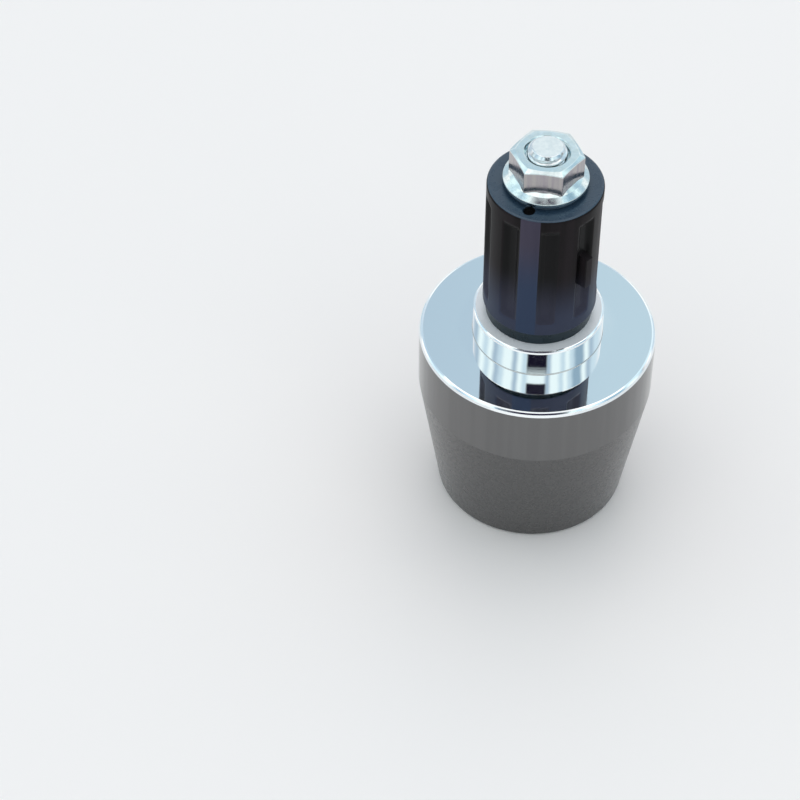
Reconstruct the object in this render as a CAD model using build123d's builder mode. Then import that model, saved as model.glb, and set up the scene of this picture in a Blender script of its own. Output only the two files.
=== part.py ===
from build123d import *
from math import cos, radians, sin
import os

# Handlebar end plug, standing on the rim of its small end.
# +Z runs up the axis of the screw, and z = 0 is the flat rim that the plug stands on.
# Sizes are in millimetres. Angles are in degrees from -Y, growing towards +X.

# End weight: radii and lengths of the turned body
band_r = 19.05
rim_r = 15.5
cone_length = 23.0
band_length = 10.8
face_round = 0.9
rim_chamfer = 0.7

# End weight: dish in the small end
lip_width = 3.5
lip_chamfer = 0.3
dish_depth = 3.0

# End weight: collar that the end of the handlebar butts on
collar_r = 10.45
collar_height = 5.0
collar_chamfer = 0.3

# Clamp screw, M6 with a socket head
screw_r = 3.0
screw_length = 63.6
head_r = 5.0
head_height = 6.0
head_chamfer = 0.45
socket_across_flats = 5.0
socket_depth = 3.0
socket_angle = 14.0
tip_chamfer = 0.65
head_recess = 0.2

# Fits of the screw
head_clearance = 0.5
shank_clearance = 0.25
thread_clearance = 0.05
seat_clearance = 0.02

# Expander sleeve: the moulded rubber
sleeve_r = 9.0
sleeve_length = 24.4
sleeve_top_chamfer = 0.45
sleeve_foot_chamfer = 0.25
neck_r = 8.5
neck_length = 2.4
boss_r = 6.0
boss_height = 0.7
sleeve_bore_clearance = 0.25

# Expander sleeve: flutes, closed at both ends, with walls that slope by draft
flute_count = 9
flute_angle = 3.0
flute_width = 3.1
flute_depth = 0.8
flute_draft = 45.0
flute_end_margin = 2.3
flute_overshoot = 0.6

# Expander sleeve: key that stands in one flute, half-way up
key_flute = 1
key_width = 1.3
key_length = 5.9
key_height = 1.8
key_root = 0.6
key_chamfer = 0.15

# Expander sleeve: moulding pit in the top face, half under the flange
pit_r = 0.95
pit_depth = 0.7
pit_centre_r = 6.9
pit_angle = -23.5

# Flange nut, M6
nut_across_flats = 10.0
nut_height = 5.5
nut_angle = -8.6
nut_edge_chamfer = 0.55
flange_r = 6.6
flange_rim = 0.55
flange_rise = 1.05
flange_root_r = 5.1
countersink_r = 3.6
flange_chamfer = 0.15

# Heights, from the rim upwards
face_z = cone_length + band_length
collar_z = face_z + collar_height
head_z = dish_depth + head_recess
head_seat_z = head_z + head_height
sleeve_foot_z = collar_z + neck_length
sleeve_top_z = sleeve_foot_z + sleeve_length
boss_z = sleeve_top_z + boss_height
nut_z = boss_z + seat_clearance
nut_top_z = nut_z + nut_height
tip_z = head_seat_z + screw_length

# Radii of the holes, from what passes through them
head_bore_r = head_r + head_clearance
shank_bore_r = screw_r + shank_clearance
sleeve_bore_r = screw_r + sleeve_bore_clearance
thread_bore_r = screw_r + thread_clearance
lip_r = rim_r - lip_width


def outward(angle):
    """Unit vector that points away from the axis at this angle."""
    return Vector(sin(radians(angle)), -cos(radians(angle)), 0)


def radial_plane(angle, radius, height):
    """Plane square to the radius at this angle, facing the axis, with its x across the radius."""
    across = Vector(cos(radians(angle)), sin(radians(angle)), 0)
    centre = outward(angle) * radius + Vector(0, 0, height)
    return Plane(origin=centre, x_dir=across, z_dir=-outward(angle))


def nearest(shapes, x, y):
    """The vertex of a sketch that lies closest to this point."""
    return shapes.sort_by_distance((x, y, 0))[0]


# End weight, one turned piece
with BuildPart() as end_weight:
    with BuildSketch(Plane.XZ) as weight_section:
        with BuildLine():
            Polyline(
                (head_bore_r, dish_depth),
                (head_bore_r, head_seat_z + seat_clearance),
                (shank_bore_r, head_seat_z + seat_clearance),
                (shank_bore_r, collar_z),
                (collar_r, collar_z),
                (collar_r, face_z),
                (band_r, face_z),
                (band_r, cone_length),
                (rim_r, 0),
                (lip_r, 0),
                close=True,
            )
        make_face()
        fillet(nearest(weight_section.vertices(), band_r, face_z), radius=face_round)
        chamfer(nearest(weight_section.vertices(), rim_r, 0), length=rim_chamfer)
        chamfer(nearest(weight_section.vertices(), lip_r, 0), length=lip_chamfer)
        chamfer(nearest(weight_section.vertices(), collar_r, collar_z), length=collar_chamfer)
    revolve(axis=Axis.Z)

# Clamp screw, head down in the dish
with BuildPart() as clamp_screw:
    with BuildSketch(Plane.XZ) as screw_section:
        with BuildLine():
            Polyline(
                (0, head_z),
                (head_r, head_z),
                (head_r, head_seat_z),
                (screw_r, head_seat_z),
                (screw_r, tip_z - tip_chamfer),
                (screw_r - tip_chamfer, tip_z),
                (0, tip_z),
                close=True,
            )
        make_face()
        chamfer(nearest(screw_section.vertices(), head_r, head_z), length=head_chamfer)
    revolve(axis=Axis.Z)
    # Hex socket for the key
    with BuildSketch(Plane.XY.offset(head_z)):
        RegularPolygon(socket_across_flats / 2, 6, major_radius=False, rotation=socket_angle)
    extrude(amount=socket_depth, mode=Mode.SUBTRACT)

# Expander sleeve, one rubber moulding
with BuildPart() as expander_sleeve:
    with BuildSketch(Plane.XZ) as sleeve_section:
        with BuildLine():
            Polyline(
                (sleeve_bore_r, collar_z),
                (neck_r, collar_z),
                (neck_r, sleeve_foot_z),
                (sleeve_r, sleeve_foot_z),
                (sleeve_r, sleeve_top_z),
                (boss_r, sleeve_top_z),
                (boss_r, boss_z),
                (sleeve_bore_r, boss_z),
                close=True,
            )
        make_face()
        chamfer(nearest(sleeve_section.vertices(), sleeve_r, sleeve_foot_z), length=sleeve_foot_chamfer)
        chamfer(nearest(sleeve_section.vertices(), sleeve_r, sleeve_top_z), length=sleeve_top_chamfer)
    revolve(axis=Axis.Z)
    # Flutes: each starts outside the wall and narrows inwards to its floor
    flute_pitch = 360 / flute_count
    flute_mid_z = (sleeve_foot_z + sleeve_top_z) / 2
    flute_spread = 2 * flute_overshoot
    flute_angles = [flute_angle + flute_pitch * i for i in range(flute_count)]
    flute_mouths = [radial_plane(a, sleeve_r + flute_overshoot, flute_mid_z) for a in flute_angles]
    with BuildSketch(*flute_mouths):
        Rectangle(flute_width + flute_spread, sleeve_length - 2 * flute_end_margin + flute_spread)
    extrude(amount=flute_depth + flute_overshoot, taper=flute_draft, mode=Mode.SUBTRACT)
    # Key: rooted in the wall, it stands up from the floor of its flute
    floor_r = sleeve_r - flute_depth
    key_angle = flute_angles[key_flute]
    with BuildSketch(radial_plane(key_angle, floor_r + key_height, flute_mid_z)):
        Rectangle(key_width, key_length)
    extrude(amount=key_height + key_root)
    key_top_centre = outward(key_angle) * (floor_r + key_height) + Vector(0, 0, flute_mid_z)
    key_top = expander_sleeve.faces().sort_by_distance(key_top_centre)[0]
    chamfer(key_top.edges(), length=key_chamfer)
    # Moulding pit
    pit_centre = outward(pit_angle) * pit_centre_r
    with BuildSketch(Plane.XY.offset(sleeve_top_z - pit_depth)):
        with Locations(pit_centre):
            Circle(pit_r)
    extrude(amount=pit_depth + boss_height, mode=Mode.SUBTRACT)

# Flange nut
with BuildPart() as flange_nut:
    with BuildSketch(Plane.XY.offset(nut_z)):
        RegularPolygon(nut_across_flats / 2, 6, major_radius=False, rotation=nut_angle)
    extrude(amount=nut_height)
    # The edge of the top face is broken all round the hexagon
    hex_top = flange_nut.faces().sort_by(Axis.Z)[-1]
    chamfer(hex_top.edges(), length=nut_edge_chamfer)
    # Flange
    with BuildSketch(Plane.XZ) as flange_section:
        with BuildLine():
            Polyline(
                (0, nut_z),
                (flange_r, nut_z),
                (flange_r, nut_z + flange_rim),
                (flange_root_r, nut_z + flange_rim + flange_rise),
                (0, nut_z + flange_rim + flange_rise),
                close=True,
            )
        make_face()
        chamfer(nearest(flange_section.vertices(), flange_r, nut_z + flange_rim), length=flange_chamfer)
    revolve(axis=Axis.Z)
    # Threaded bore, countersunk at both ends
    with Locations((0, 0, nut_top_z)):
        CounterSinkHole(thread_bore_r, countersink_r)
    with BuildSketch(Plane.XZ):
        with BuildLine():
            Polyline(
                (0, nut_z),
                (countersink_r, nut_z),
                (thread_bore_r, nut_z + countersink_r - thread_bore_r),
                (0, nut_z + countersink_r - thread_bore_r),
                close=True,
            )
        make_face()
    revolve(axis=Axis.Z, mode=Mode.SUBTRACT)

os.makedirs("parts", exist_ok=True)

end_weight.part.label = "end_weight"
export_step(end_weight.part, "parts/end_weight.step")

clamp_screw.part.label = "clamp_screw"
export_step(clamp_screw.part, "parts/clamp_screw.step")

expander_sleeve.part.label = "expander_sleeve"
export_step(expander_sleeve.part, "parts/expander_sleeve.step")

flange_nut.part.label = "flange_nut"
export_step(flange_nut.part, "parts/flange_nut.step")
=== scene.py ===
"""Handlebar end plug: its modelled pieces, finishes, light and camera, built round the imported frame.

Sizes are in millimetres, and MM turns them into metres where a mesh or a material is made.
Angles are in degrees round the axis of the screw, from -Y and growing towards +X.
"""

import logging
import math
from dataclasses import dataclass, field, replace
from enum import Enum
from typing import Sequence

import bpy
import numpy as np
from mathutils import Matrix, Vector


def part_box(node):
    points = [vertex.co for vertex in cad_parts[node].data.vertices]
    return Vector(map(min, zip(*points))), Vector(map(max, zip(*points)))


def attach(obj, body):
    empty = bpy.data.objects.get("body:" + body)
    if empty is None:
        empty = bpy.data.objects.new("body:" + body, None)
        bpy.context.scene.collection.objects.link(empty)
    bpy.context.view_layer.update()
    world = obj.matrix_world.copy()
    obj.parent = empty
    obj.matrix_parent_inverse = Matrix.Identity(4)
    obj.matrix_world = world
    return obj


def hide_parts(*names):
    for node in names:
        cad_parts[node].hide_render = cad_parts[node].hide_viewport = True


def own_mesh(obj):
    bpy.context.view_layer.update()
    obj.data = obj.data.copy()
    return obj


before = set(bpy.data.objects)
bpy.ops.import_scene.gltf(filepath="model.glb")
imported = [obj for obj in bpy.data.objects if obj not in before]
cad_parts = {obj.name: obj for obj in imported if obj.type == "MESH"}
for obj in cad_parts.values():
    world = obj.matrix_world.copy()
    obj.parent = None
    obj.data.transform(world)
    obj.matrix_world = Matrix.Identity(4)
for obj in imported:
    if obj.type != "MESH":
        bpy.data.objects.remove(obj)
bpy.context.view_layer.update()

MM = 0.001

log = logging.getLogger("end_plug")

Colour = tuple[float, float, float]
Socket = bpy.types.NodeSocket
Row = tuple[np.ndarray, np.ndarray]

# Noise values between which a patch changes its colour and its shine
COLOUR_PATCHES = (0.35, 0.65)
SHINE_PATCHES = (0.3, 0.7)
PATCH_DETAIL = 4.0

# Turned marks run long round the axis: a radian counts for this length
TURNED_ARC = 0.2
# Drawn marks run long along the axis: each direction counts for this share
DRAWN_SHARES = (1.0, 1.0, 0.04)

# A smaller turn isn't rounded, and rounding takes no more than this share of a run
SMALLEST_TURN = 1e-4
LONGEST_CUT = 0.45


class Slot(str, Enum):
    """Material slots of the record."""

    CHROME = "chrome_plate"
    RUBBER = "sleeve_rubber"
    SCREW = "screw_steel"
    NUT = "nut_zinc"


class Body(str, Enum):
    """Bodies that move on their own."""

    WEIGHT = "weight"
    SCREW = "screw"
    NUT = "nut"


class Bump(Enum):
    """Ways a surface can be rough under the light."""

    GRAIN = "grain"
    TURNED = "turned"
    DRAWN = "drawn"


# Node trees


class Graph:
    """A node tree while it is being wired."""

    def __init__(self, tree: bpy.types.NodeTree) -> None:
        """Empties the tree."""
        self.tree = tree
        tree.nodes.clear()

    def feed(self, socket: Socket, value: object) -> None:
        """Links an input to a socket, or sets it to a value.

        Args:
            socket: input of a node.
            value: output that feeds it, or a plain value.
        """
        if isinstance(value, Socket):
            self.tree.links.new(value, socket)
        else:
            socket.default_value = value

    def add(self, kind: str, inputs: dict[str, object] | None = None, **settings: object) -> bpy.types.Node:
        """Adds a node.

        Args:
            kind: type of the node.
            inputs: values or sockets for its inputs, by name.
            settings: the node's own properties.

        Returns:
            The node.
        """
        node = self.tree.nodes.new(kind)
        for key, value in settings.items():
            setattr(node, key, value)
        for key, value in (inputs or {}).items():
            self.feed(node.inputs[key], value)
        return node

    def maths(self, operation: str, *values: object) -> Socket:
        """Result of a Math node.

        Args:
            operation: name of the sum.
            values: numbers or sockets, in the order of its inputs.

        Returns:
            The output socket.
        """
        node = self.add("ShaderNodeMath", operation=operation)
        for socket, value in zip(node.inputs, values):
            self.feed(socket, value)
        return node.outputs[0]

    def step(self, value: object, low: float, high: float, first: float = 0.0, last: float = 1.0) -> Socket:
        """Smooth change from first to last as a value goes from low to high.

        Args:
            value: number or socket.
            low: where the change starts.
            high: where it ends.
            first: result before it.
            last: result after it.

        Returns:
            The output socket.
        """
        node = self.add("ShaderNodeMapRange", interpolation_type="SMOOTHSTEP")
        for name, number in (("From Min", low), ("From Max", high), ("To Min", first), ("To Max", last)):
            node.inputs[name].default_value = number
        self.feed(node.inputs["Value"], value)
        return node.outputs["Result"]

    def blend(self, factor: object, first: object, second: object) -> Socket:
        """Colour between two others.

        Args:
            factor: share of the second colour.
            first: colour or socket.
            second: colour or socket.

        Returns:
            The output socket.
        """
        node = self.add("ShaderNodeMix", data_type="RGBA")
        sockets = {s.identifier: s for s in node.inputs}
        self.feed(sockets["Factor_Float"], factor)
        for name, colour in (("A_Color", first), ("B_Color", second)):
            self.feed(sockets[name], (*colour, 1.0) if isinstance(colour, tuple) else colour)
        return next(s for s in node.outputs if s.identifier == "Result_Color")


class SurfaceGraph(Graph):
    """Node tree of a finish, which knows the place on the piece."""

    def __init__(self, tree: bpy.types.NodeTree) -> None:
        """Starts with the place on the piece."""
        super().__init__(tree)
        self.place = self.add("ShaderNodeTexCoord").outputs["Object"]

    def turned_place(self) -> Socket:
        """Place as radius, way round and height, so that a noise in it runs in rings.

        Returns:
            Vector socket.
        """
        x, y, z = self.add("ShaderNodeSeparateXYZ", {"Vector": self.place}).outputs
        squares = self.maths("ADD", self.maths("POWER", x, 2.0), self.maths("POWER", y, 2.0))
        radius = self.maths("SQRT", squares)
        round_way = self.maths("MULTIPLY", self.maths("ARCTAN2", y, x), TURNED_ARC * MM)
        return self.add("ShaderNodeCombineXYZ", {"X": radius, "Y": round_way, "Z": z}).outputs["Vector"]

    def spot(self, kind: Bump) -> Socket:
        """Place in which a noise is drawn.

        Args:
            kind: grain as it is, rings round the axis, or lines along it.

        Returns:
            Vector socket.
        """
        if kind is Bump.TURNED:
            return self.turned_place()
        if kind is Bump.DRAWN:
            stretched = self.add("ShaderNodeVectorMath", operation="MULTIPLY")
            self.feed(stretched.inputs[0], self.place)
            self.feed(stretched.inputs[1], DRAWN_SHARES)
            return stretched.outputs["Vector"]
        return self.place

    def noise(self, kind: Bump, width: float, detail: float) -> Socket:
        """Noise of one kind of relief.

        Args:
            kind: how its marks run.
            width: width of a mark.
            detail: how finely it is broken up.

        Returns:
            Socket of its value.
        """
        inputs = {"Vector": self.spot(kind), "Scale": 1 / (width * MM), "Detail": detail}
        return self.add("ShaderNodeTexNoise", inputs).outputs["Fac"]


@dataclass(frozen=True)
class Relief:
    """One layer of fine relief on a finish: its kind, the width of a grain or mark, and its depth."""

    kind: Bump
    width: float
    depth: float
    detail: float = 2.0


@dataclass(frozen=True)
class PaintedLightFade:
    """Painted light that a finish takes on its way down: a colour with none of it at the height start, all of
    it at end.
    """

    colour: Colour
    start: float
    end: float


@dataclass(frozen=True)
class Finish:
    """A surface: colour, shine and fine relief, all worked out from the place on the piece."""

    name: str
    colour: Colour
    roughness: tuple[float, float]
    reliefs: tuple[Relief, ...] = ()
    metallic: float = 1.0
    second_colour: Colour | None = None
    fade: PaintedLightFade | None = None
    patch_width: float = 4.0
    patch_kind: Bump = Bump.GRAIN
    specular: float = 0.5
    specular_tint: Colour = (1.0, 1.0, 1.0)

    def relief_normal(self, graph: SurfaceGraph) -> Socket | None:
        """Normal after every layer of relief.

        Args:
            graph: tree being wired.

        Returns:
            Normal socket, or None for a surface without relief.
        """
        normal = None
        for relief in self.reliefs:
            height = graph.noise(relief.kind, relief.width, relief.detail)
            bump = graph.add("ShaderNodeBump", {"Height": height, "Distance": relief.depth * MM})
            if normal is not None:
                graph.feed(bump.inputs["Normal"], normal)
            normal = bump.outputs["Normal"]
        return normal

    def base_colour(self, graph: SurfaceGraph, patches: Socket) -> object:
        """Colour with its patches and its fade of painted light.

        Args:
            graph: tree being wired.
            patches: noise of the patches.

        Returns:
            Colour socket, or one plain colour.
        """
        if self.second_colour is None:
            return (*self.colour, 1.0)
        colour = graph.blend(graph.step(patches, *COLOUR_PATCHES), self.colour, self.second_colour)
        if self.fade is None:
            return colour
        # The fade paints bluish light on the lower rubber, stronger towards the foot.
        height = graph.add("ShaderNodeSeparateXYZ", {"Vector": graph.place}).outputs["Z"]
        fallen = graph.step(height, self.fade.end * MM, self.fade.start * MM, 1.0, 0.0)
        return graph.blend(fallen, colour, self.fade.colour)

    def material(self) -> bpy.types.Material:
        """Makes the material, or finds the one made before.

        Returns:
            The material.
        """
        made = bpy.data.materials.get(self.name)
        if made is not None:
            return made
        material = bpy.data.materials.new(self.name)
        material.use_nodes = True
        graph = SurfaceGraph(material.node_tree)
        patches = graph.noise(self.patch_kind, self.patch_width, PATCH_DETAIL)
        shader = graph.add("ShaderNodeBsdfPrincipled", {
            "Base Color": self.base_colour(graph, patches),
            "Metallic": self.metallic,
            "Roughness": graph.step(patches, *SHINE_PATCHES, *self.roughness),
            "Specular IOR Level": self.specular,
            "Specular Tint": (*self.specular_tint, 1.0),
        })
        normal = self.relief_normal(graph)
        if normal is not None:
            graph.feed(shader.inputs["Normal"], normal)
        graph.add("ShaderNodeOutputMaterial", {"Surface": shader.outputs["BSDF"]})
        return material


MIRROR_CHROME = Finish(
    name="mirror_chrome",
    colour=(0.86, 0.87, 0.88),
    roughness=(0.02, 0.05),
    reliefs=(Relief(Bump.TURNED, 0.30, 0.00015), Relief(Bump.GRAIN, 0.45, 0.00025)),
)
# Painted highlight: the broken edges are the same chrome as the mirror face, given a paler, bluer colour so
# that their lines of reflected light show whiter.
EDGE_HIGHLIGHT_CHROME = Finish(
    name="edge_highlight_chrome",
    colour=(0.90, 0.94, 0.96),
    roughness=(0.04, 0.09),
    reliefs=(Relief(Bump.GRAIN, 0.30, 0.0006),),
)
# Painted shade: the band and the cone are the same chrome plating as the mirror face, and their colour is
# darkened to stand for the dark surroundings that they reflect.
BAND_SHADE_CHROME = Finish(
    name="band_shade_chrome",
    colour=(0.184, 0.183, 0.183),
    second_colour=(0.174, 0.173, 0.173),
    roughness=(0.09, 0.17),
    reliefs=(Relief(Bump.DRAWN, 0.35, 0.0004), Relief(Bump.GRAIN, 0.40, 0.0006)),
    patch_width=1.4,
    patch_kind=Bump.DRAWN,
)
BLASTED_SHADE_CHROME = Finish(
    name="blasted_shade_chrome",
    colour=(0.138, 0.137, 0.137),
    second_colour=(0.130, 0.129, 0.129),
    roughness=(0.24, 0.30),
    reliefs=(Relief(Bump.GRAIN, 0.30, 0.0040, 1.0),),
    patch_width=0.8,
)
TURNED_CHROME = Finish(
    name="turned_chrome",
    colour=(0.60, 0.61, 0.61),
    roughness=(0.20, 0.30),
    reliefs=(Relief(Bump.TURNED, 0.28, 0.0040, 1.0), Relief(Bump.GRAIN, 0.20, 0.0010)),
)
# Painted highlight: the collar's top face is chrome, but its colour is a pale near-white with little metal,
# so that it stays white where chrome would reflect the dark sleeve.
FACE_HIGHLIGHT_CHROME = Finish(
    name="face_highlight_chrome",
    colour=(0.93, 0.93, 0.96),
    metallic=0.2,
    roughness=(0.30, 0.40),
    reliefs=(Relief(Bump.TURNED, 0.20, 0.0020, 1.0), Relief(Bump.GRAIN, 0.30, 0.0010)),
)
# Partly painted light: the near-black rubber is real, but its paler streaks along the axis stand in for
# streaks of reflected light, and its fade paints bluish light towards the foot.
LAND_RUBBER = Finish(
    name="land_rubber",
    colour=(0.0095, 0.0084, 0.0088),
    second_colour=(0.0165, 0.0130, 0.0150),
    fade=PaintedLightFade((0.0430, 0.0500, 0.0820), 54.0, 43.0),
    metallic=0.0,
    roughness=(0.30, 0.42),
    reliefs=(Relief(Bump.GRAIN, 1.6, 0.008), Relief(Bump.GRAIN, 0.16, 0.0018)),
    patch_width=2.2,
    patch_kind=Bump.DRAWN,
    specular=0.05,
)
# Painted reflection: one land is made paler and purple-blue, standing in for a bright thing that it reflects
# beside the plug, and its fade paints bluish light towards the foot.
REFLECTION_LAND_RUBBER = replace(
    LAND_RUBBER,
    name="reflection_land_rubber",
    colour=(0.0640, 0.0560, 0.0840),
    second_colour=(0.0500, 0.0450, 0.0700),
    fade=PaintedLightFade((0.0360, 0.0530, 0.0980), 62.0, 50.0),
)
# Painted shade: the flutes and the pit have a darker colour than the lands for the shade in these recesses,
# and the fade paints bluish light towards the foot.
FLUTE_SHADE_RUBBER = replace(
    LAND_RUBBER,
    name="flute_shade_rubber",
    colour=(0.0060, 0.0060, 0.0062),
    second_colour=(0.0085, 0.0080, 0.0086),
    fade=PaintedLightFade((0.0390, 0.0400, 0.0620), 54.0, 44.5),
    roughness=(0.34, 0.46),
    specular=0.08,
)
# Painted light: the top face is the same black rubber, given a blue-grey colour for the sky light that it
# catches facing up.
PAINTED_SKY_TOP_RUBBER = Finish(
    name="painted_sky_top_rubber",
    colour=(0.0210, 0.0440, 0.0750),
    second_colour=(0.0250, 0.0500, 0.0820),
    metallic=0.0,
    roughness=(0.22, 0.36),
    reliefs=(Relief(Bump.GRAIN, 0.9, 0.003), Relief(Bump.GRAIN, 0.16, 0.0010)),
    patch_width=1.6,
    specular=0.75,
    specular_tint=(0.80, 0.90, 1.00),
)
# Painted light: the neck is the same black rubber as the wall, given a teal colour that stands in for how it
# is lit.
NECK_PAINTED_LIGHT_RUBBER = Finish(
    name="neck_painted_light_rubber",
    colour=(0.0060, 0.0160, 0.0230),
    second_colour=(0.0090, 0.0200, 0.0290),
    metallic=0.0,
    roughness=(0.24, 0.36),
    reliefs=(Relief(Bump.GRAIN, 0.9, 0.006), Relief(Bump.GRAIN, 0.16, 0.0020)),
    patch_width=1.6,
    specular=0.25,
)
BRIGHT_ZINC = Finish(
    name="bright_zinc",
    colour=(0.76, 0.84, 0.85),
    second_colour=(0.66, 0.76, 0.77),
    roughness=(0.08, 0.16),
    reliefs=(Relief(Bump.GRAIN, 0.8, 0.0040), Relief(Bump.GRAIN, 0.18, 0.0006)),
    patch_width=1.2,
)
TUMBLED_ZINC = replace(BRIGHT_ZINC, name="tumbled_zinc", roughness=(0.10, 0.18), patch_width=0.4)
# Painted shade: the hex walls are the same zinc plating as the top, darkened to brown-purple in their colour
# for the dark things that they reflect.
WALL_SHADE_ZINC = Finish(
    name="wall_shade_zinc",
    colour=(0.45, 0.43, 0.42),
    second_colour=(0.38, 0.35, 0.38),
    roughness=(0.10, 0.18),
    reliefs=(Relief(Bump.DRAWN, 0.30, 0.0030), Relief(Bump.GRAIN, 0.18, 0.0006)),
    patch_width=0.6,
    patch_kind=Bump.DRAWN,
)
SCREW_ZINC = Finish(
    name="screw_zinc",
    colour=(0.80, 0.84, 0.86),
    second_colour=(0.70, 0.75, 0.78),
    roughness=(0.10, 0.22),
    reliefs=(Relief(Bump.GRAIN, 0.5, 0.0035), Relief(Bump.GRAIN, 0.14, 0.0010)),
    patch_width=0.9,
)
SAWN_ZINC = replace(
    SCREW_ZINC,
    name="sawn_zinc",
    colour=(0.78, 0.84, 0.85),
    second_colour=(0.70, 0.77, 0.79),
    roughness=(0.38, 0.50),
)
PALE_FLOOR = Finish(
    name="pale_floor",
    colour=(0.985, 0.920, 0.905),
    metallic=0.04,
    roughness=(0.45, 0.45),
)


# Turned sections and the meshes that are wrapped from them


@dataclass(frozen=True)
class Corner:
    """A corner of a section: its place, how far it is rounded, and the finish of the wall after it."""

    r: float
    z: float
    rounding: float = 0.04
    finish: int = 0
    steps: int = 4


@dataclass(frozen=True)
class Ring:
    """A point of a section with its corners rounded, and the finish of the wall after it."""

    r: float
    z: float
    finish: int = 0


def rounded_corner(before: Corner, corner: Corner, after: Corner) -> list[Ring]:
    """Points of one corner after rounding.

    Args:
        before: corner that the section comes from.
        corner: the corner.
        after: corner that it goes to.

    Returns:
        Points along the arc, in the order of the section.
    """
    here = np.array([corner.r, corner.z])
    inward = here - (before.r, before.z)
    outward = np.array([after.r, after.z]) - here
    run_in, run_out = np.linalg.norm(inward), np.linalg.norm(outward)
    inward, outward = inward / run_in, outward / run_out
    turn = math.atan2(inward[0] * outward[1] - inward[1] * outward[0], float(inward @ outward))
    if corner.rounding == 0 or abs(turn) < SMALLEST_TURN:
        return [Ring(corner.r, corner.z, corner.finish)]
    cut = min(corner.rounding * math.tan(abs(turn) / 2), LONGEST_CUT * run_in, LONGEST_CUT * run_out)
    radius = cut / math.tan(abs(turn) / 2)
    side = math.copysign(1.0, turn)
    centre = here - inward * cut + side * radius * np.array([-inward[1], inward[0]])
    spoke = here - inward * cut - centre
    points = []
    for i in range(corner.steps + 1):
        angle = turn * i / corner.steps
        c, s = math.cos(angle), math.sin(angle)
        r, z = centre + (c * spoke[0] - s * spoke[1], s * spoke[0] + c * spoke[1])
        points.append(Ring(float(r), float(z), corner.finish))
    return points


def rounded_section(corners: Sequence[Corner], closed: bool = True) -> list[Ring]:
    """A section with its corners rounded.

    Args:
        corners: corners in order, with the material on the left of the way from each to the next.
        closed: whether the last corner joins the first. An open section starts and ends on sharp corners.

    Returns:
        Its points, in order.
    """
    rings: list[Ring] = []
    for i, corner in enumerate(corners):
        end = i in (0, len(corners) - 1)
        if not closed and end:
            rings.append(Ring(corner.r, corner.z, corner.finish))
        else:
            rings += rounded_corner(corners[i - 1], corner, corners[(i + 1) % len(corners)])
    return rings


def divided(rings: Sequence[Ring], longest: float) -> list[Ring]:
    """A section with its long runs divided.

    Args:
        rings: points in order, open.
        longest: longest run that is left.

    Returns:
        The points with new ones between them.
    """
    points: list[Ring] = []
    for first, second in zip(rings, rings[1:]):
        parts = max(1, math.ceil(math.hypot(second.r - first.r, second.z - first.z) / longest))
        for i in range(parts):
            t = i / parts
            r = first.r + t * (second.r - first.r)
            z = first.z + t * (second.z - first.z)
            points.append(Ring(r, z, first.finish))
    return points + [rings[-1]]


def away_from_axis(angle: float) -> np.ndarray:
    """Unit vector that points away from the axis at this angle."""
    turn = math.radians(angle)
    return np.array([math.sin(turn), -math.cos(turn)])


def spread(rings: Sequence[Ring], columns: int) -> tuple[np.ndarray, np.ndarray]:
    """Radius and height of a section, the same in every column."""
    section = np.array([(ring.r, ring.z) for ring in rings])
    return np.repeat(section[:, :1], columns, axis=1), np.repeat(section[:, 1:], columns, axis=1)


def evenly_round(count: int) -> np.ndarray:
    """Angles of this many columns, evenly round the axis."""
    return np.arange(count) * 360.0 / count


def wrap(angles: np.ndarray, r: np.ndarray, z: np.ndarray) -> np.ndarray:
    """Points of a surface round the axis.

    Args:
        angles: angle of each column.
        r: radius by row and column.
        z: height by row and column.

    Returns:
        Points, rows x columns x 3.
    """
    turn = np.radians(angles)
    return np.stack([r * np.sin(turn), -r * np.cos(turn), np.broadcast_to(z, r.shape)], axis=-1)


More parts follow.
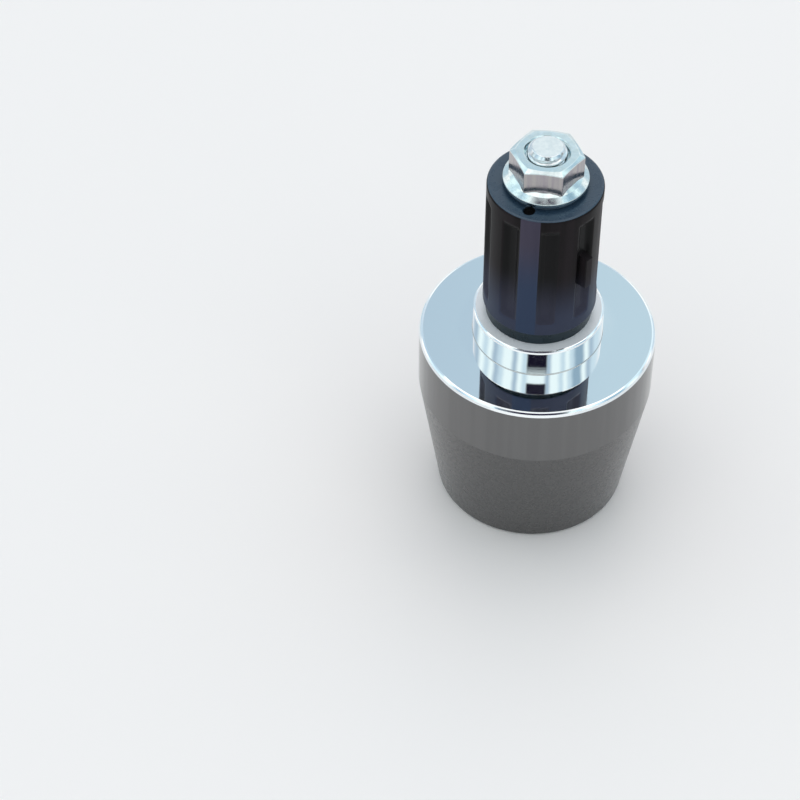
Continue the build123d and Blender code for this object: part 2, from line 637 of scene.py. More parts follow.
@dataclass
class Shell:
    """A closed surface of rows and columns round the axis, with a finish for each row or each face."""

    name: str
    points: np.ndarray
    finishes: Sequence[int] | np.ndarray
    joined: bool = True

    def faces(self) -> tuple[np.ndarray, np.ndarray, list[int]]:
        """Vertices and faces of the surface.

        Returns:
            Vertices, faces as index rows (a triangle repeats its last corner), and the finish of each face.
        """
        rows, columns, _ = self.points.shape
        vertices = self.points.reshape(-1, 3)
        column = np.arange(columns)
        beside = (column + 1) % columns
        spans = rows if self.joined else rows - 1
        by_face = np.broadcast_to(np.array(self.finishes).reshape(rows, -1), (rows, columns))
        finishes = by_face[:spans].ravel().tolist()
        quads = []
        for i in range(spans):
            low, high = i * columns, (i + 1) % rows * columns
            quads.append(np.stack([low + column, low + beside, high + beside, high + column], axis=1))
        if not self.joined:
            last = (rows - 1) * columns
            hub = len(vertices)
            vertices = np.vstack([vertices, self.points[0].mean(0), self.points[-1].mean(0)])
            start = np.full(columns, hub)
            end = np.full(columns, hub + 1)
            quads.append(np.stack([start, beside, column, column], axis=1))
            quads.append(np.stack([end, last + column, last + beside, last + beside], axis=1))
            finishes += by_face[[0, -1]].ravel().tolist()
        return vertices, np.vstack(quads), finishes

    @staticmethod
    def normals(vertices: np.ndarray, faces: np.ndarray) -> np.ndarray:
        """Normal of each vertex, where large faces outweigh small ones, so that flats shade flat.

        Args:
            vertices: all vertices.
            faces: all faces, as index rows.

        Returns:
            Unit normals, one for each vertex.
        """
        a, b, c, d = (vertices[faces[:, k]] for k in range(4))
        across = np.cross(c - a, d - b)
        triangle = faces[:, 2] == faces[:, 3]
        across[triangle] = np.cross(b[triangle] - a[triangle], c[triangle] - a[triangle])
        total = np.zeros_like(vertices)
        for k in range(4):
            np.add.at(total, faces[:, k], across)
        return total / np.maximum(np.linalg.norm(total, axis=1, keepdims=True), 1e-12)

    def build(self, dress: Sequence[Finish]) -> bpy.types.Object:
        """Makes the object.

        Args:
            dress: finishes, in the order of the numbers on the rows.

        Returns:
            The object, at the origin of the frame.
        """
        vertices, faces, finishes = self.faces()
        mesh = bpy.data.meshes.new(self.name)
        rows = [list(dict.fromkeys(face)) for face in faces.tolist()]
        mesh.from_pydata((vertices * MM).tolist(), [], rows)
        for finish in dress:
            mesh.materials.append(finish.material())
        mesh.polygons.foreach_set("material_index", finishes)
        mesh.polygons.foreach_set("use_smooth", [True] * len(rows))
        mesh.update()
        mesh.normals_split_custom_set_from_vertices(self.normals(vertices, faces).tolist())
        piece = bpy.data.objects.new(self.name, mesh)
        bpy.context.scene.collection.objects.link(piece)
        return piece


def turned_shell(name: str, rings: Sequence[Ring], columns: int) -> Shell:
    """Shell of a section turned round the axis.

    Args:
        name: name of the piece.
        rings: closed section.
        columns: facets round the axis.

    Returns:
        The shell.
    """
    r, z = spread(rings, columns)
    return Shell(name, wrap(evenly_round(columns), r, z), [ring.finish for ring in rings])


def seat(piece: bpy.types.Object, node: str, body: Body) -> bpy.types.Object:
    """Puts a piece in the place of its solid.

    Args:
        piece: the finished piece.
        node: solid that it stands for.
        body: body that it moves with.

    Returns:
        The piece.
    """
    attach(piece, body.value)
    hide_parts(node)
    log.info("%s: %d faces, rides %s", piece.name, len(piece.data.polygons), body.value)
    return piece


# Pieces


@dataclass
class EndWeight:
    """The turned chrome weight: dish and rim at its small end, cone, band, mirror face and collar."""

    node: str = "end_weight"
    head_bore_r: float = 5.5
    dish_depth: float = 3.0
    dish_sag: float = 0.35
    dish_parts: int = 12
    lip_r: float = 12.0
    lip_round: float = 0.35
    rim_r: float = 15.5
    rim_round: float = 0.7
    cone_length: float = 23.0
    waist_round: float = 0.05
    face_edge: float = 0.66
    edge_soft: float = 0.08
    edge_facets: tuple[tuple[float, float], ...] = ((0.36, 18.0), (0.36, 37.5))
    collar_r: float = 10.45
    collar_height: float = 5.0
    collar_edge: float = 0.4
    flare: float = 0.03
    flare_reach: float = 2.2
    root_round: float = 0.12
    root_height: float = 0.2
    root_lean: float = 0.006
    shank_bore_r: float = 3.25
    head_seat_z: float = 9.22
    columns: int = 288
    band_r: float = field(init=False)
    collar_z: float = field(init=False)

    def __post_init__(self) -> None:
        """Takes the outer sizes from the frame."""
        low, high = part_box(self.node)
        self.band_r = (high.x - low.x) / 2 / MM
        self.collar_z = high.z / MM

    def dish(self, finish: int) -> list[Corner]:
        """The hollow in the small end, from the head's bore to the lip.

        Args:
            finish: finish of its wall.

        Returns:
            Its corners.
        """
        corners = []
        for i in range(self.dish_parts):
            t = i / self.dish_parts
            radius = self.head_bore_r + t * (self.lip_r - self.head_bore_r)
            height = self.dish_depth * (1 - t) + self.dish_sag * 4 * t * (1 - t)
            corners.append(Corner(radius, height, 0.0 if i else 0.15, finish))
        return corners

    def buffed(self, r: float, z: float, size: float, edge: int, beyond: int) -> list[Corner]:
        """An outer edge that the buffing wheel has broken, in facets that grow steeper from face to wall.

        Args:
            r: radius of the wall under the edge.
            z: height of the face over it.
            size: how far the edge is broken each way.
            edge: finish of the facets.
            beyond: finish of the face.

        Returns:
            Its corners, from the wall upwards.
        """
        soft = self.edge_soft * size
        corners = [Corner(r - size, z, soft, beyond)]
        for share, slope in self.edge_facets:
            last = corners[-1]
            width = share * size
            corners.append(Corner(last.r + width, last.z - width * math.tan(math.radians(slope)), soft, edge))
        corners.append(Corner(r, z - size, soft, edge))
        return corners[::-1]

    def section(self) -> list[Ring]:
        """Closed section of the weight, from the dish outwards.

        Returns:
            Its points, with the corners rounded.
        """
        # The band and cone finishes carry painted shade, and the edge and collar-top finishes carry painted
        # highlights.
        mirror, edge, band, blasted, turned, highlight_face = range(6)
        face_z = self.collar_z - self.collar_height
        swell = self.flare_reach ** 2 / (2 * self.flare)
        root_r, root_z = self.collar_r + self.flare, face_z + self.flare
        corners = self.dish(turned) + [
            Corner(self.lip_r, 0.0, self.lip_round, band),
            Corner(self.rim_r, 0.0, self.rim_round, blasted, 6),
            Corner(self.band_r, self.cone_length, self.waist_round, band, 2),
            *self.buffed(self.band_r, face_z, self.face_edge, edge, mirror),
            Corner(self.collar_r + self.flare_reach, face_z, swell, mirror, 6),
            Corner(root_r, root_z, self.root_round, turned),
            Corner(root_r - self.root_lean, root_z + self.root_height, 0.0, mirror),
            Corner(self.collar_r, face_z + self.flare_reach, swell, mirror, 6),
            # The collar's top face takes the painted highlight.
            *self.buffed(self.collar_r, self.collar_z, self.collar_edge, edge, highlight_face),
            Corner(self.shank_bore_r, self.collar_z, 0.1, turned),
            Corner(self.shank_bore_r, self.head_seat_z, 0.1, turned),
            Corner(self.head_bore_r, self.head_seat_z, 0.1, turned),
        ]
        return rounded_section(corners)

    def build(self) -> bpy.types.Object:
        """Makes and dresses the weight.

        Returns:
            The piece.
        """
        shell = turned_shell("turned_weight", self.section(), self.columns)
        dress = [MIRROR_CHROME, EDGE_HIGHLIGHT_CHROME, BAND_SHADE_CHROME, BLASTED_SHADE_CHROME, TURNED_CHROME, FACE_HIGHLIGHT_CHROME]
        piece = shell.build(dress)
        return seat(piece, self.node, Body.WEIGHT)


def soft_min(a: np.ndarray, b: np.ndarray, reach: float) -> np.ndarray:
    """The smaller of two heights, with the edge between them rounded.

    Args:
        a: first height.
        b: second height.
        reach: how far from the edge the rounding starts.

    Returns:
        The height.
    """
    h = np.clip(0.5 + 0.5 * (b - a) / reach, 0.0, 1.0)
    return b + (a - b) * h - reach * h * (1 - h)


def soft_max(a: np.ndarray, b: np.ndarray, reach: float) -> np.ndarray:
    """The larger of two heights, with the corner between them rounded."""
    return -soft_min(-a, -b, reach)


def ramp(value: np.ndarray, start: float, end: float) -> np.ndarray:
    """Smooth share from 0 at start to 1 at end."""
    t = np.clip((value - start) / (end - start), 0.0, 1.0)
    return t * t * (3 - 2 * t)


def merged(values: Sequence[float], gap: float) -> np.ndarray:
    """Values in order, without those that lie too close to the one before.

    Args:
        values: values in any order.
        gap: least distance that is left.

    Returns:
        The values that are kept.
    """
    kept: list[float] = []
    for value in sorted(values):
        if not kept or value - kept[-1] >= gap:
            kept.append(value)
    return np.array(kept)


def both_sides(middle: float, edge: float, offsets: Sequence[float]) -> list[float]:
    """Places near the two edges that lie this far to each side of a middle."""
    return [middle + side * (edge + offset) for side in (1, -1) for offset in offsets]


@dataclass
class ExpanderSleeve:
    """The moulded rubber sleeve: nine closed flutes, one key, a neck at its foot and a boss under the nut."""

    node: str = "expander_sleeve"
    bore_r: float = 3.25
    neck_length: float = 2.4
    neck_r: float = 8.5
    boss_r: float = 6.0
    boss_height: float = 0.7
    top_round: float = 0.45
    foot_round: float = 0.3
    flute_count: int = 9
    flute_angle: float = 3.0
    flute_width: float = 3.1
    flute_depth: float = 0.8
    flute_end_margin: float = 2.3
    flute_round: float = 0.5
    flute_columns: tuple[float, ...] = (-1.8, -1.2, -0.7, -0.35, 0.0, 0.35, 0.7, 1.2, 1.8)
    flute_rows: tuple[float, ...] = (-0.4, -0.25, -0.12, 0.0, 0.12, 0.25, 0.4)
    flute_from: float = 0.12
    # Angle of the land that carries the painted reflection
    reflection_land_angle: float = -17.0
    key_angle: float = 43.0
    key_width: float = 1.3
    key_length: float = 5.9
    key_height: float = 1.8
    key_spread: float = 0.22
    key_columns: tuple[float, ...] = (-0.9, -0.45, -0.2, 0.0, 0.2, 0.45, 0.9, 1.3)
    key_rows: tuple[float, ...] = (-0.16, -0.08, -0.03, 0.02, 0.08, 0.2)
    key_from: float = 0.02
    pit_r: float = 0.95
    pit_wall: float = 0.16
    pit_depth: float = 0.7
    pit_fill: float = 0.98
    pit_centre_r: float = 6.9
    pit_angle: float = -23.5
    pit_reach: float = 10.0
    pit_columns: float = 0.5
    pit_from: float = 0.15
    squeeze: float = 3.0
    outer_r: float = 9.0
    even_columns: float = 2.0
    even_rows: float = 0.6
    even_foot: float = 0.5
    even_head: float = 0.55
    least_columns: float = 0.17
    least_rows: float = 0.03
    top_rows: float = 0.12
    foot_z: float = field(init=False)
    head_z: float = field(init=False)

    def __post_init__(self) -> None:
        """Takes the heights from the frame."""
        low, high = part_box(self.node)
        self.foot_z = low.z / MM
        self.head_z = high.z / MM

    @property
    def wall_foot_z(self) -> float:
        """Height where the fluted wall starts."""
        return self.foot_z + self.neck_length

    @property
    def wall_top_z(self) -> float:
        """Height of the sleeve's top face, under the boss."""
        return self.head_z - self.boss_height

    @property
    def middle_z(self) -> float:
        """Height half-way up the fluted wall."""
        return (self.wall_foot_z + self.wall_top_z) / 2

    @property
    def mouth_half(self) -> float:
        """Half the length of a flute's mouth."""
        return (self.wall_top_z - self.wall_foot_z) / 2 - self.flute_end_margin

    @property
    def key_top_r(self) -> float:
        """Radius of the key's top."""
        return self.outer_r - self.flute_depth + self.key_height

    def columns(self) -> np.ndarray:
        """Angles of the mesh's columns, close together at the flutes' edges, the key and the pit.

        Returns:
            Angles in order.
        """
        floor_half = self.flute_width / 2 - self.flute_depth
        floor_edge = math.degrees(math.atan(floor_half / (self.outer_r - self.flute_depth)))
        mouth_edge = math.degrees(math.asin(self.flute_width / 2 / self.outer_r))
        angles = list(np.arange(-180.0, 180.0, self.even_columns))
        for i in range(self.flute_count):
            centre = self.flute_angle + 360.0 / self.flute_count * i
            for edge in (floor_edge, mouth_edge):
                angles += both_sides(centre, edge, self.flute_columns)
        top_half = math.degrees(math.atan(self.key_width / 2 / self.key_top_r))
        angles += both_sides(self.key_angle, top_half, self.key_columns)
        angles += list(self.pit_angle + np.arange(-self.pit_reach, self.pit_reach + 0.1, self.pit_columns))
        wrapped = [(a + 180.0) % 360.0 - 180.0 for a in angles]
        return merged(wrapped, self.least_columns)

    def wall_heights(self) -> np.ndarray:
        """Heights of the wall's rows, close together at the flutes' ends and the key's.

        Returns:
            Heights in order.
        """
        lowest, highest = self.wall_foot_z + self.even_foot, self.wall_top_z - self.even_head
        heights = list(np.arange(lowest, highest, self.even_rows))
        for edge in (self.mouth_half, self.mouth_half - self.flute_depth):
            heights += both_sides(self.middle_z, edge, self.flute_rows)
        heights += both_sides(self.middle_z, self.key_length / 2, self.key_rows)
        return merged(heights, self.least_rows)

    def section(self) -> list[Ring]:
        """Closed section before the flutes are cut, from the bore outwards along the foot.

        Returns:
            Its points, with the corners rounded.
        """
        rings = rounded_section([
            Corner(self.bore_r, self.foot_z, 0.05),
            Corner(self.neck_r, self.foot_z, 0.1),
            Corner(self.neck_r, self.wall_foot_z, 0.15),
            Corner(self.outer_r, self.wall_foot_z, self.foot_round, steps=5),
            Corner(self.outer_r, self.wall_top_z, self.top_round, steps=6),
            Corner(self.boss_r, self.wall_top_z, 0.12),
            Corner(self.boss_r, self.head_z, 0.1),
            Corner(self.bore_r, self.head_z, 0.05),
        ])
        wall = [Ring(self.outer_r, float(z)) for z in self.wall_heights()]
        cut = next(i for i, ring in enumerate(rings) if ring.z > self.wall_foot_z + self.foot_round + 0.01)
        return rings[:cut] + wall + divided(rings[cut:], self.top_rows)

    def flute_radius(self, angles: np.ndarray, z: np.ndarray) -> np.ndarray:
        """Radius of the bottom of the nearest flute: its floor, its sloping sides and its sloping ends.

        Args:
            angles: angle of each column.
            z: height by row and column.

        Returns:
            Radius by row and column.
        """
        pitch = 360.0 / self.flute_count
        away = np.radians((angles - self.flute_angle + pitch / 2) % pitch - pitch / 2)
        cosine, sine = np.cos(away), np.abs(np.sin(away))
        floor = (self.outer_r - self.flute_depth) / cosine
        side = (self.outer_r - self.flute_width / 2) / np.maximum(cosine - sine, 0.2)
        end = (self.outer_r + np.abs(z - self.middle_z) - self.mouth_half) / cosine
        floor, side = np.broadcast_to(floor, z.shape), np.broadcast_to(side, z.shape)
        return soft_max(soft_max(floor, side, self.flute_round), end, self.flute_round)

    def key_share(self, angles: np.ndarray, z: np.ndarray) -> np.ndarray:
        """Share of the key's height that stands at each place, from 0 beside it to 1 on its top.

        Args:
            angles: angle of each column.
            z: height by row and column.

        Returns:
            Share by row and column.
        """
        across = np.abs(np.radians((angles - self.key_angle + 180.0) % 360.0 - 180.0)) * self.key_top_r
        along = np.abs(z - self.middle_z)
        past_side = ramp(across, self.key_width / 2 - 0.02, self.key_width / 2 + self.key_spread)
        past_end = ramp(along, self.key_length / 2 - 0.03, self.key_length / 2 + self.key_spread)
        return (1 - np.broadcast_to(past_side, z.shape)) * (1 - past_end)

    def pit_share(self, points: np.ndarray) -> np.ndarray:
        """Share of the pit's depth at each place.

        Args:
            points: points of the surface.

        Returns:
            Share by row and column.
        """
        centre = away_from_axis(self.pit_angle) * self.pit_centre_r
        distance = np.hypot(points[..., 0] - centre[0], points[..., 1] - centre[1])
        return 1 - ramp(distance, self.pit_r - self.pit_wall, self.pit_r)

    def finishes_by_face(
        self, angles: np.ndarray, r: np.ndarray, z: np.ndarray, pit: np.ndarray
    ) -> np.ndarray:
        """Finish of each face: land, flute, top face, neck, and the one land that is painted paler as a
        reflection.

        Args:
            angles: angle of each column.
            r: radius by row and column.
            z: height by row and column.
            pit: share of the pit's depth by row and column.

        Returns:
            Number of the finish by row and column, as in the list that build hands over.
        """
        land, flute, face, neck, reflection_land = range(5)
        by_face = np.full(r.shape, land)
        # The land at this angle takes the painted reflection.
        by_face[:, np.abs(angles - self.reflection_land_angle) < 180.0 / self.flute_count / 2] = reflection_land
        # The flutes take the finish with painted shade.
        by_face[r < self.outer_r - self.flute_from * self.flute_depth] = flute
        by_face[self.key_share(angles, z) > self.key_from] = land
        # The top face and its round take the painted sky light.
        by_face[z > self.wall_top_z - 0.5 * self.top_round] = face
        # The pit takes the flutes' painted shade.
        by_face[pit > self.pit_from] = flute
        # The neck takes its painted teal light.
        by_face[z < self.wall_foot_z + 0.02] = neck
        return by_face

    def build(self) -> bpy.types.Object:
        """Makes and dresses the sleeve.

        Returns:
            The piece.
        """
        angles = self.columns()
        r, z = spread(self.section(), len(angles))
        on_wall = (r > (self.neck_r + self.outer_r) / 2) & (z > self.wall_foot_z)
        fluted = soft_min(r, self.flute_radius(angles, z), self.flute_round)
        keyed = fluted + (self.key_top_r - fluted) * self.key_share(angles, z)
        r = np.where(on_wall, keyed, r)
        points = wrap(angles, r, z)
        top = z > self.wall_top_z - 0.05
        floor_z = self.wall_top_z - self.pit_depth
        share = np.where(top, self.pit_share(points), 0.0) * self.pit_fill
        points[..., 2] = z + (floor_z - z) * share
        shell = Shell("fluted_sleeve", points, self.finishes_by_face(angles, r, z, share))
        dress = [LAND_RUBBER, FLUTE_SHADE_RUBBER, PAINTED_SKY_TOP_RUBBER, NECK_PAINTED_LIGHT_RUBBER, REFLECTION_LAND_RUBBER]
        piece = seat(shell.build(dress), self.node, Body.WEIGHT)
        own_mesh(piece)
        return piece


@dataclass
class FlangeNut:
    """The zinc-plated hex nut with its sloping flange."""

    node: str = "flange_nut"
    across_flats: float = 10.0
    hex_angle: float = -8.6
    hex_round: float = 0.22
    bevel_slope: float = 30.0
    bevel_flat: float = 0.45
    bevel_corner: float = 0.86
    flange_rim: float = 0.55
    flange_rise: float = 1.05
    flange_root_r: float = 5.1
    brim: float = 0.9
    brim_slope: float = 37.0
    countersink_r: float = 3.6
    bore_r: float = 3.05
    flat_parts: int = 12
    corner_parts: int = 6
    flange_r: float = field(init=False)
    foot_z: float = field(init=False)
    top_z: float = field(init=False)

    def __post_init__(self) -> None:
        """Takes the outer sizes from the frame."""
        low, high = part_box(self.node)
        self.flange_r = (high.x - low.x) / 2 / MM
        self.foot_z = low.z / MM
        self.top_z = high.z / MM

    def hexagon(self) -> tuple[np.ndarray, np.ndarray]:
        """Outline of the hexagon with its corners rounded.

        Returns:
            Angle and radius of each point round it.
        """
        half = self.across_flats / 2
        hub = (half - self.hex_round) / math.cos(math.radians(30))
        points = []
        for side in range(6):
            corner = self.hex_angle + 30 + 60 * side
            centre = hub * away_from_axis(corner)
            for i in range(self.corner_parts + 1):
                turn = corner - 30 + 60 * i / self.corner_parts
                points.append(centre + self.hex_round * away_from_axis(turn))
            target = hub * away_from_axis(corner + 60) + self.hex_round * away_from_axis(corner + 30)
            start = points[-1]
            points += [start + (target - start) * k / self.flat_parts for k in range(1, self.flat_parts)]
        outline = np.array(points)
        angles = np.degrees(np.arctan2(outline[:, 0], -outline[:, 1]))
        order = np.argsort(angles)
        return angles[order], np.hypot(outline[:, 0], outline[:, 1])[order]

    def section(self, hex_r: float) -> list[Ring]:
        """Closed section through the nut.

        Args:
            hex_r: radius of the hexagon there.

        Returns:
            Its points, with the corners rounded.
        """
        half = self.across_flats / 2
        fall = self.flange_rise / (self.flange_r - self.flange_root_r)
        brim_rise = self.brim * math.tan(math.radians(self.brim_slope))
        rim_z = self.foot_z + self.flange_rim
        root_z = rim_z + self.flange_rise - fall * max(hex_r - self.flange_root_r, 0.0)
        corner_r = (half - self.hex_round) / math.cos(math.radians(30)) + self.hex_round
        at_corner = (hex_r - half) / (corner_r - half)
        bevel = self.bevel_flat + (self.bevel_corner - self.bevel_flat) * at_corner
        drop = bevel * math.tan(math.radians(self.bevel_slope))
        sink = self.countersink_r - self.bore_r
        corners = [
            Corner(self.countersink_r, self.foot_z, 0.05),
            Corner(self.flange_r, self.foot_z, 0.12),
            Corner(self.flange_r, rim_z, 0.15, 2),
            Corner(self.flange_r - self.brim, rim_z + brim_rise, 0.6),
            Corner(max(hex_r, self.flange_root_r) + 0.02, root_z, 0.12),
            # Finish 1, on the hex wall, carries painted shade.
            Corner(hex_r, root_z + 0.02, 0.02, 1),
            Corner(hex_r, self.top_z - drop, 0.16),
            Corner(hex_r - bevel, self.top_z, 0.3),
            Corner(self.countersink_r, self.top_z, 0.08),
            Corner(self.bore_r, self.top_z - sink, 0.05),
            Corner(self.bore_r, self.foot_z + sink, 0.05),
        ]
        return rounded_section(corners)

    def build(self) -> bpy.types.Object:
        """Makes and dresses the nut.

        Returns:
            The piece.
        """
        angles, radii = self.hexagon()
        sections = [self.section(float(radius)) for radius in radii]
        r = np.array([[ring.r for ring in rings] for rings in sections]).T
        z = np.array([[ring.z for ring in rings] for rings in sections]).T
        shell = Shell("hex_flange_nut", wrap(angles, r, z), [ring.finish for ring in sections[0]])
        return seat(shell.build([BRIGHT_ZINC, WALL_SHADE_ZINC, TUMBLED_ZINC]), self.node, Body.NUT)


@dataclass
class ClampScrew:
    """The M6 socket screw: knurled head with a hex socket in the dish, and a threaded tip through the nut."""

    node: str = "clamp_screw"
    shank_r: float = 3.0
    head_r: float = 5.0
    head_height: float = 6.0
    head_round: float = 0.45
    socket_across_flats: float = 5.0
    socket_depth: float = 3.0
    socket_angle: float = 14.0
    socket_mouth: float = 0.2
    knurl_teeth: int = 60
    knurl_depth: float = 0.12
    thread_pitch: float = 1.0
    thread_depth: float = 0.61
    thread_steps: int = 16
    thread_crest: float = 0.25
    thread_flank: float = 0.625
    thread_start_z: float = 65.5
    tip_chamfer: float = 0.65
    columns: int = 240
    head_z: float = field(init=False)
    tip_z: float = field(init=False)

    def __post_init__(self) -> None:
        """Takes the heights from the frame."""
        low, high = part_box(self.node)
        self.head_z = low.z / MM
        self.tip_z = high.z / MM

    def hex_radius(self, angles: np.ndarray) -> np.ndarray:
        """Radius of the socket's wall at each angle."""
        away = np.radians((angles - self.socket_angle) % 60.0 - 30.0)
        return self.socket_across_flats / 2 / np.cos(away)

    def socket_rows(self, angles: np.ndarray) -> list[Row]:
        """Rows of the socket, from the middle of its floor to its mouth.

        Args:
            angles: angle of each column.

        Returns:
            Radius and height of each row.
        """
        wall = self.hex_radius(angles)
        floor_z = self.head_z + self.socket_depth
        level = np.ones_like(wall)
        rows = [(wall * share, floor_z * level) for share in (0.1, 0.5, 0.9, 0.98)]
        rows += [(wall, (floor_z - 0.05) * level), (wall, (self.head_z + self.socket_mouth + 0.04) * level)]
        rows.append((wall + 0.02, (self.head_z + self.socket_mouth) * level))
        rows.append((wall + self.socket_mouth, (self.head_z + 0.02) * level))
        rows.append((wall + self.socket_mouth + 0.06, self.head_z * level))
        return rows

    def head_rows(self, angles: np.ndarray) -> list[Row]:
        """Rows of the head's outside and the shank up to the thread.

        Args:
            angles: angle of each column.

        Returns:
            Radius and height of each row.
        """
        seat_z = self.head_z + self.head_height
        rings = rounded_section([
            Corner(3.4, self.head_z),
            Corner(self.head_r, self.head_z, self.head_round, steps=5),
            Corner(self.head_r, seat_z, 0.15),
            Corner(self.shank_r, seat_z, 0.25),
            Corner(self.shank_r, self.thread_start_z),
        ], closed=False)
        tooth = np.abs((angles * self.knurl_teeth / 360.0) % 1.0 - 0.5) * 2
        rows = []
        for ring in rings:
            outside = ramp(np.array(ring.r), self.head_r - 0.3, self.head_r - 0.05)
            rows.append((ring.r - self.knurl_depth * tooth * outside, np.full_like(angles, ring.z)))
        return rows

    def thread_rows(self, angles: np.ndarray) -> list[Row]:
        """Rows of the right-hand thread up to the chamfered tip.

        Args:
            angles: angle of each column.

        Returns:
            Radius and height of each row.
        """
        rows = []
        step = self.thread_pitch / self.thread_steps
        count = int((self.tip_z - self.thread_start_z) / step)
        for i in range(1, count + 1):
            height = self.thread_start_z + i * step
            phase = (height / self.thread_pitch - angles / 360.0) % 1.0
            rise = np.clip((np.abs(phase - 0.5) * 2 - self.thread_crest) / self.thread_flank, 0.0, 1.0)
            groove = self.thread_depth * rise
            started = float(ramp(np.array(height), self.thread_start_z, self.thread_start_z + 1.0))
            point = self.shank_r - self.tip_chamfer + (self.tip_z - height)
            rows.append((np.minimum(self.shank_r - groove * started, point), np.full_like(angles, height)))
        tip_r = self.shank_r - self.tip_chamfer
        for radius, drop in ((tip_r - 0.03, 0.01), (tip_r - 0.1, 0.0), (tip_r * 0.5, 0.0), (0.1, 0.0)):
            rows.append((np.full_like(angles, radius), np.full_like(angles, self.tip_z - drop)))
        return rows

    def build(self) -> bpy.types.Object:
        """Makes and dresses the screw, with a sawn finish on the last rows of its tip.

        Returns:
            The piece.
        """
        angles = evenly_round(self.columns)
        rows = self.socket_rows(angles) + self.head_rows(angles)[1:] + self.thread_rows(angles)
        r = np.array([row[0] for row in rows])
        z = np.array([row[1] for row in rows])
        shell = Shell("socket_screw", wrap(angles, r, z), [0] * (len(r) - 3) + [1] * 3, joined=False)
        return seat(shell.build([SCREW_ZINC, SAWN_ZINC]), self.node, Body.SCREW)


# Studio


WHITE: Colour = (1.08, 1.25, 1.25)
PALE: Colour = (0.74, 0.94, 1.04)
BLUE: Colour = (0.50, 0.66, 0.79)
DEEP: Colour = (0.36, 0.53, 0.66)


@dataclass(frozen=True)
class Streak:
    """A soft streak of light in the studio: the direction of its middle, and its light."""

    azimuth: float
    light: Colour


@dataclass(frozen=True)
class Card:
    """A dark card in the studio: its azimuths, its elevations, how softly its sides end, and its light."""

    azimuths: tuple[float, float]
    elevations: tuple[float, float]
    soft: float
    light: Colour


@dataclass(frozen=True)
class Disc:
    """A round light in the plane of +Y and +Z: the height of its middle, its half angle and its soft edge.

    Past 90 degrees its middle lies on the camera's side.
    """

    elevation: float
    half: float
    soft: float


class SkyGraph(Graph):
    """Node tree of the sky, which knows the direction seen: its parts, and its angle round the plug."""

    def __init__(self, tree: bpy.types.NodeTree) -> None:
        """Starts with the direction seen.

        Args:
            tree: node tree of the world.
        """
        super().__init__(tree)
        self.way = self.add("ShaderNodeTexCoord").outputs["Generated"]
        self.x, self.y, self.height = self.add("ShaderNodeSeparateXYZ", {"Vector": self.way}).outputs
        self.round_way = self.maths("ARCTAN2", self.x, self.maths("MULTIPLY", self.y, -1.0))

    def disc(self, disc: Disc) -> Socket:
        """Share of a round light.

        Args:
            disc: the light's place and size.

        Returns:
            Share socket, 1 inside the disc.
        """
        turn = math.radians(disc.elevation)
        towards = self.add("ShaderNodeVectorMath", operation="DOT_PRODUCT")
        self.feed(towards.inputs[0], self.way)
        self.feed(towards.inputs[1], (0.0, math.cos(turn), math.sin(turn)))
        outer, inner = (math.cos(math.radians(edge)) for edge in (disc.half + disc.soft, disc.half))
        return self.step(towards.outputs["Value"], outer, inner)

    def between(self, low: float, high: float, soft: float) -> Socket:
        """Share of a band of elevations.

        Args:
            low: elevation where it starts.
            high: elevation where it ends.
            soft: how far it fades outside them.

        Returns:
            Share socket, 1 inside the band.
        """
        edges = [math.sin(math.radians(e)) for e in (low - soft, low, high, high + soft)]
        rising = self.step(self.height, edges[0], edges[1])
        falling = self.step(self.height, edges[2], edges[3], 1.0, 0.0)
        return self.maths("MULTIPLY", rising, falling)

    def card(self, card: Card, soft: float) -> Socket:
        """Share of a dark card.

        Args:
            card: the card's place and size.
            soft: how far it fades over and under its elevations.

        Returns:
            Share socket, 1 on the card.
        """
        start, end = (math.radians(edge) for edge in card.azimuths)
        fade = math.radians(card.soft)
        opening = self.step(self.round_way, start - fade, start + fade)
        closing = self.step(self.round_way, end - fade, end + fade, 1.0, 0.0)
        ahead = self.maths("MULTIPLY", opening, closing)
        return self.maths("MULTIPLY", ahead, self.between(*card.elevations, soft))

    def strips(self, streaks: Sequence[Streak], rear: Colour) -> Socket:
        """Light of the strips round the plug.

        Args:
            streaks: the strips, in order of azimuth.
            rear: light straight behind.

        Returns:
            Colour socket.
        """
        share = self.maths("MULTIPLY_ADD", self.round_way, 0.5 / math.pi, 0.5)
        node = self.add("ShaderNodeValToRGB", {"Fac": share})
        band = node.color_ramp
        band.interpolation = "EASE"
        while len(band.elements) > 1:
            band.elements.remove(band.elements[-1])
        band.elements[0].color = (*rear, 1.0)
        for streak in streaks:
            band.elements.new(streak.azimuth / 360 + 0.5).color = (*streak.light, 1.0)
        band.elements.new(1.0).color = (*rear, 1.0)
        return node.outputs["Color"]


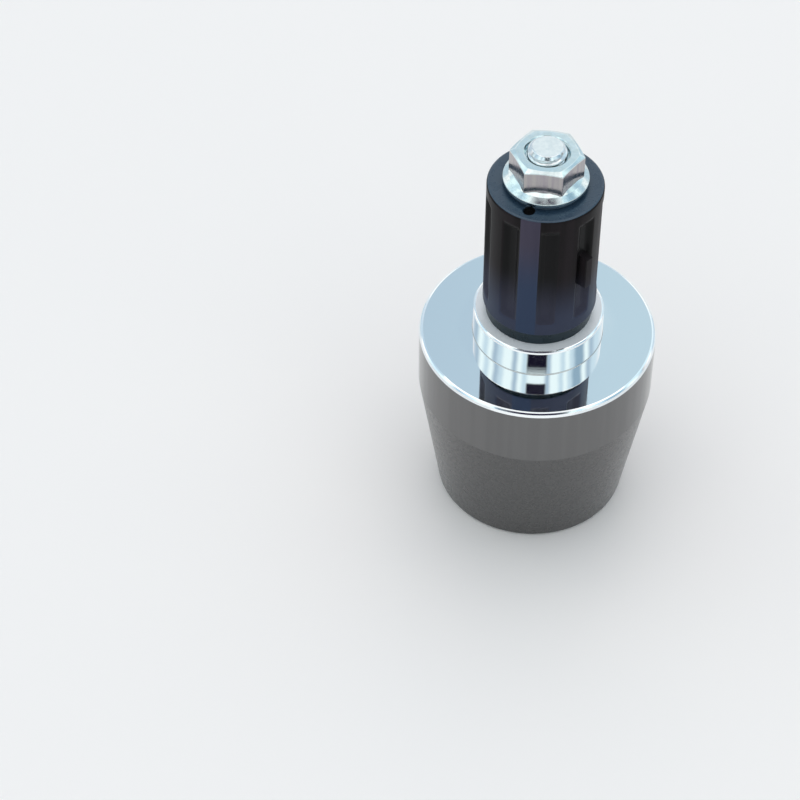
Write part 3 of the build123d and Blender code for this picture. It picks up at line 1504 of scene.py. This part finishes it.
@dataclass
class Studio:
    """Soft light from a plain sky: a pale blue window behind, strips all round, and a pale floor."""

    front_level: Colour = (0.20, 0.20, 0.20)
    rear_level: Colour = (1.15, 1.14, 1.13)
    rear_edge: tuple[float, float] = (0.10, 0.40)
    top_light: Colour = (1.34, 1.34, 1.32)
    top_disc: Disc = Disc(92.0, 40.0, 5.0)
    zenith_light: Colour = (1.02, 1.03, 1.04)
    zenith_disc: Disc = Disc(90.0, 12.0, 8.0)
    low_rear: Colour = (0.62, 0.75, 0.84)
    low_front: Colour = (1.00, 1.01, 1.02)
    low_edge: tuple[float, float] = (-0.2, 0.2)
    low_height: float = 14.0
    low_soft: float = 4.0
    window_left: Colour = (0.50, 0.66, 0.78)
    window_right: Colour = (0.57, 0.75, 0.85)
    window_edge: tuple[float, float] = (0.0, 0.10)
    window_disc: Disc = Disc(47.8, 6.0, 3.0)
    strip_low: float = 26.0
    strip_high: float = 56.0
    strip_soft: float = 1.0
    cards: tuple[Card, ...] = (
        Card((-19, 16), (44.1, 48.6), 2.6, (0.010, 0.008, 0.022)),
        Card((-44, 40), (54.0, 63.0), 22.0, (0.02, 0.01, 0.04)),
    )
    floor_half: float = 3000.0
    streaks: tuple[Streak, ...] = (
        Streak(-139, BLUE), Streak(-120, WHITE), Streak(-105, PALE), Streak(-92, WHITE),
        Streak(-81, BLUE), Streak(-70, PALE), Streak(-59, WHITE), Streak(-50, WHITE),
        Streak(-41, BLUE), Streak(-32, WHITE), Streak(-23, PALE), Streak(-14, WHITE),
        Streak(10, WHITE), Streak(19, BLUE), Streak(27, WHITE), Streak(35, WHITE),
        Streak(45, PALE), Streak(53, WHITE), Streak(62, PALE), Streak(73, DEEP),
        Streak(83, DEEP), Streak(94, WHITE), Streak(107, BLUE), Streak(122, PALE),
    )

    def sky(self) -> None:
        """Lights the world by direction."""
        world = bpy.data.worlds.new("studio_sky")
        world.use_nodes = True
        bpy.context.scene.world = world
        sky = SkyGraph(world.node_tree)
        light = sky.blend(sky.step(sky.y, *self.rear_edge), self.front_level, self.rear_level)
        low = [math.sin(math.radians(rise)) for rise in (self.low_height, self.low_height + self.low_soft)]
        low_light = sky.blend(sky.step(sky.y, *self.low_edge), self.low_front, self.low_rear)
        light = sky.blend(sky.step(sky.height, *low, 1.0, 0.0), light, low_light)
        light = sky.blend(sky.disc(self.top_disc), light, self.top_light)
        light = sky.blend(sky.disc(self.zenith_disc), light, self.zenith_light)
        strips = sky.between(self.strip_low, self.strip_high, self.strip_soft)
        light = sky.blend(strips, light, sky.strips(self.streaks, self.rear_level))
        for card in self.cards:
            light = sky.blend(sky.card(card, self.strip_soft), light, card.light)
        window = sky.blend(sky.step(sky.x, *self.window_edge), self.window_left, self.window_right)
        light = sky.blend(sky.disc(self.window_disc), light, window)
        background = sky.add("ShaderNodeBackground", {"Color": light, "Strength": 1.0})
        sky.add("ShaderNodeOutputWorld", {"Surface": background.outputs["Background"]})

    def floor(self) -> None:
        """Lays the pale floor that the plug stands on."""
        half = self.floor_half * MM
        corners = [(x, y, 0) for x, y in ((-half, -half), (half, -half), (half, half), (-half, half))]
        mesh = bpy.data.meshes.new("floor")
        mesh.from_pydata(corners, [], [(0, 1, 2, 3)])
        mesh.materials.append(PALE_FLOOR.material())
        plane = bpy.data.objects.new("floor", mesh)
        bpy.context.scene.collection.objects.link(plane)

    def build(self) -> None:
        """Makes the sky and the floor."""
        self.sky()
        self.floor()
        log.info("studio: sky with %d streaks, pale floor", len(self.streaks))


@dataclass
class PhotoCamera:
    """Camera at the photograph's viewing angle, looking down along +Y."""

    lens: float = 114.3
    sensor: float = 36.0
    place: tuple[float, float, float] = (-22.1, -283.3, 328.4)
    pitch: float = 42.24

    def build(self) -> None:
        """Makes the camera and hands it to the scene."""
        data = bpy.data.cameras.new("photo_camera")
        data.lens = self.lens
        data.sensor_width = self.sensor
        data.clip_start = 0.01
        camera = bpy.data.objects.new("photo_camera", data)
        camera.location = [part * MM for part in self.place]
        camera.rotation_euler = (math.radians(self.pitch), 0.0, 0.0)
        bpy.context.scene.collection.objects.link(camera)
        bpy.context.scene.camera = camera
        log.info("camera: %.1f mm lens", self.lens)


def main() -> None:
    """Builds the plug, its studio and its camera."""
    logging.basicConfig(level=logging.INFO, format="%(name)s: %(message)s")
    bpy.context.scene.view_settings.view_transform = "Standard"
    for sub_assembly in (EndWeight(), ExpanderSleeve(), FlangeNut(), ClampScrew()):
        sub_assembly.build()
    Studio().build()
    PhotoCamera().build()


if __name__ == "__main__":
    main()
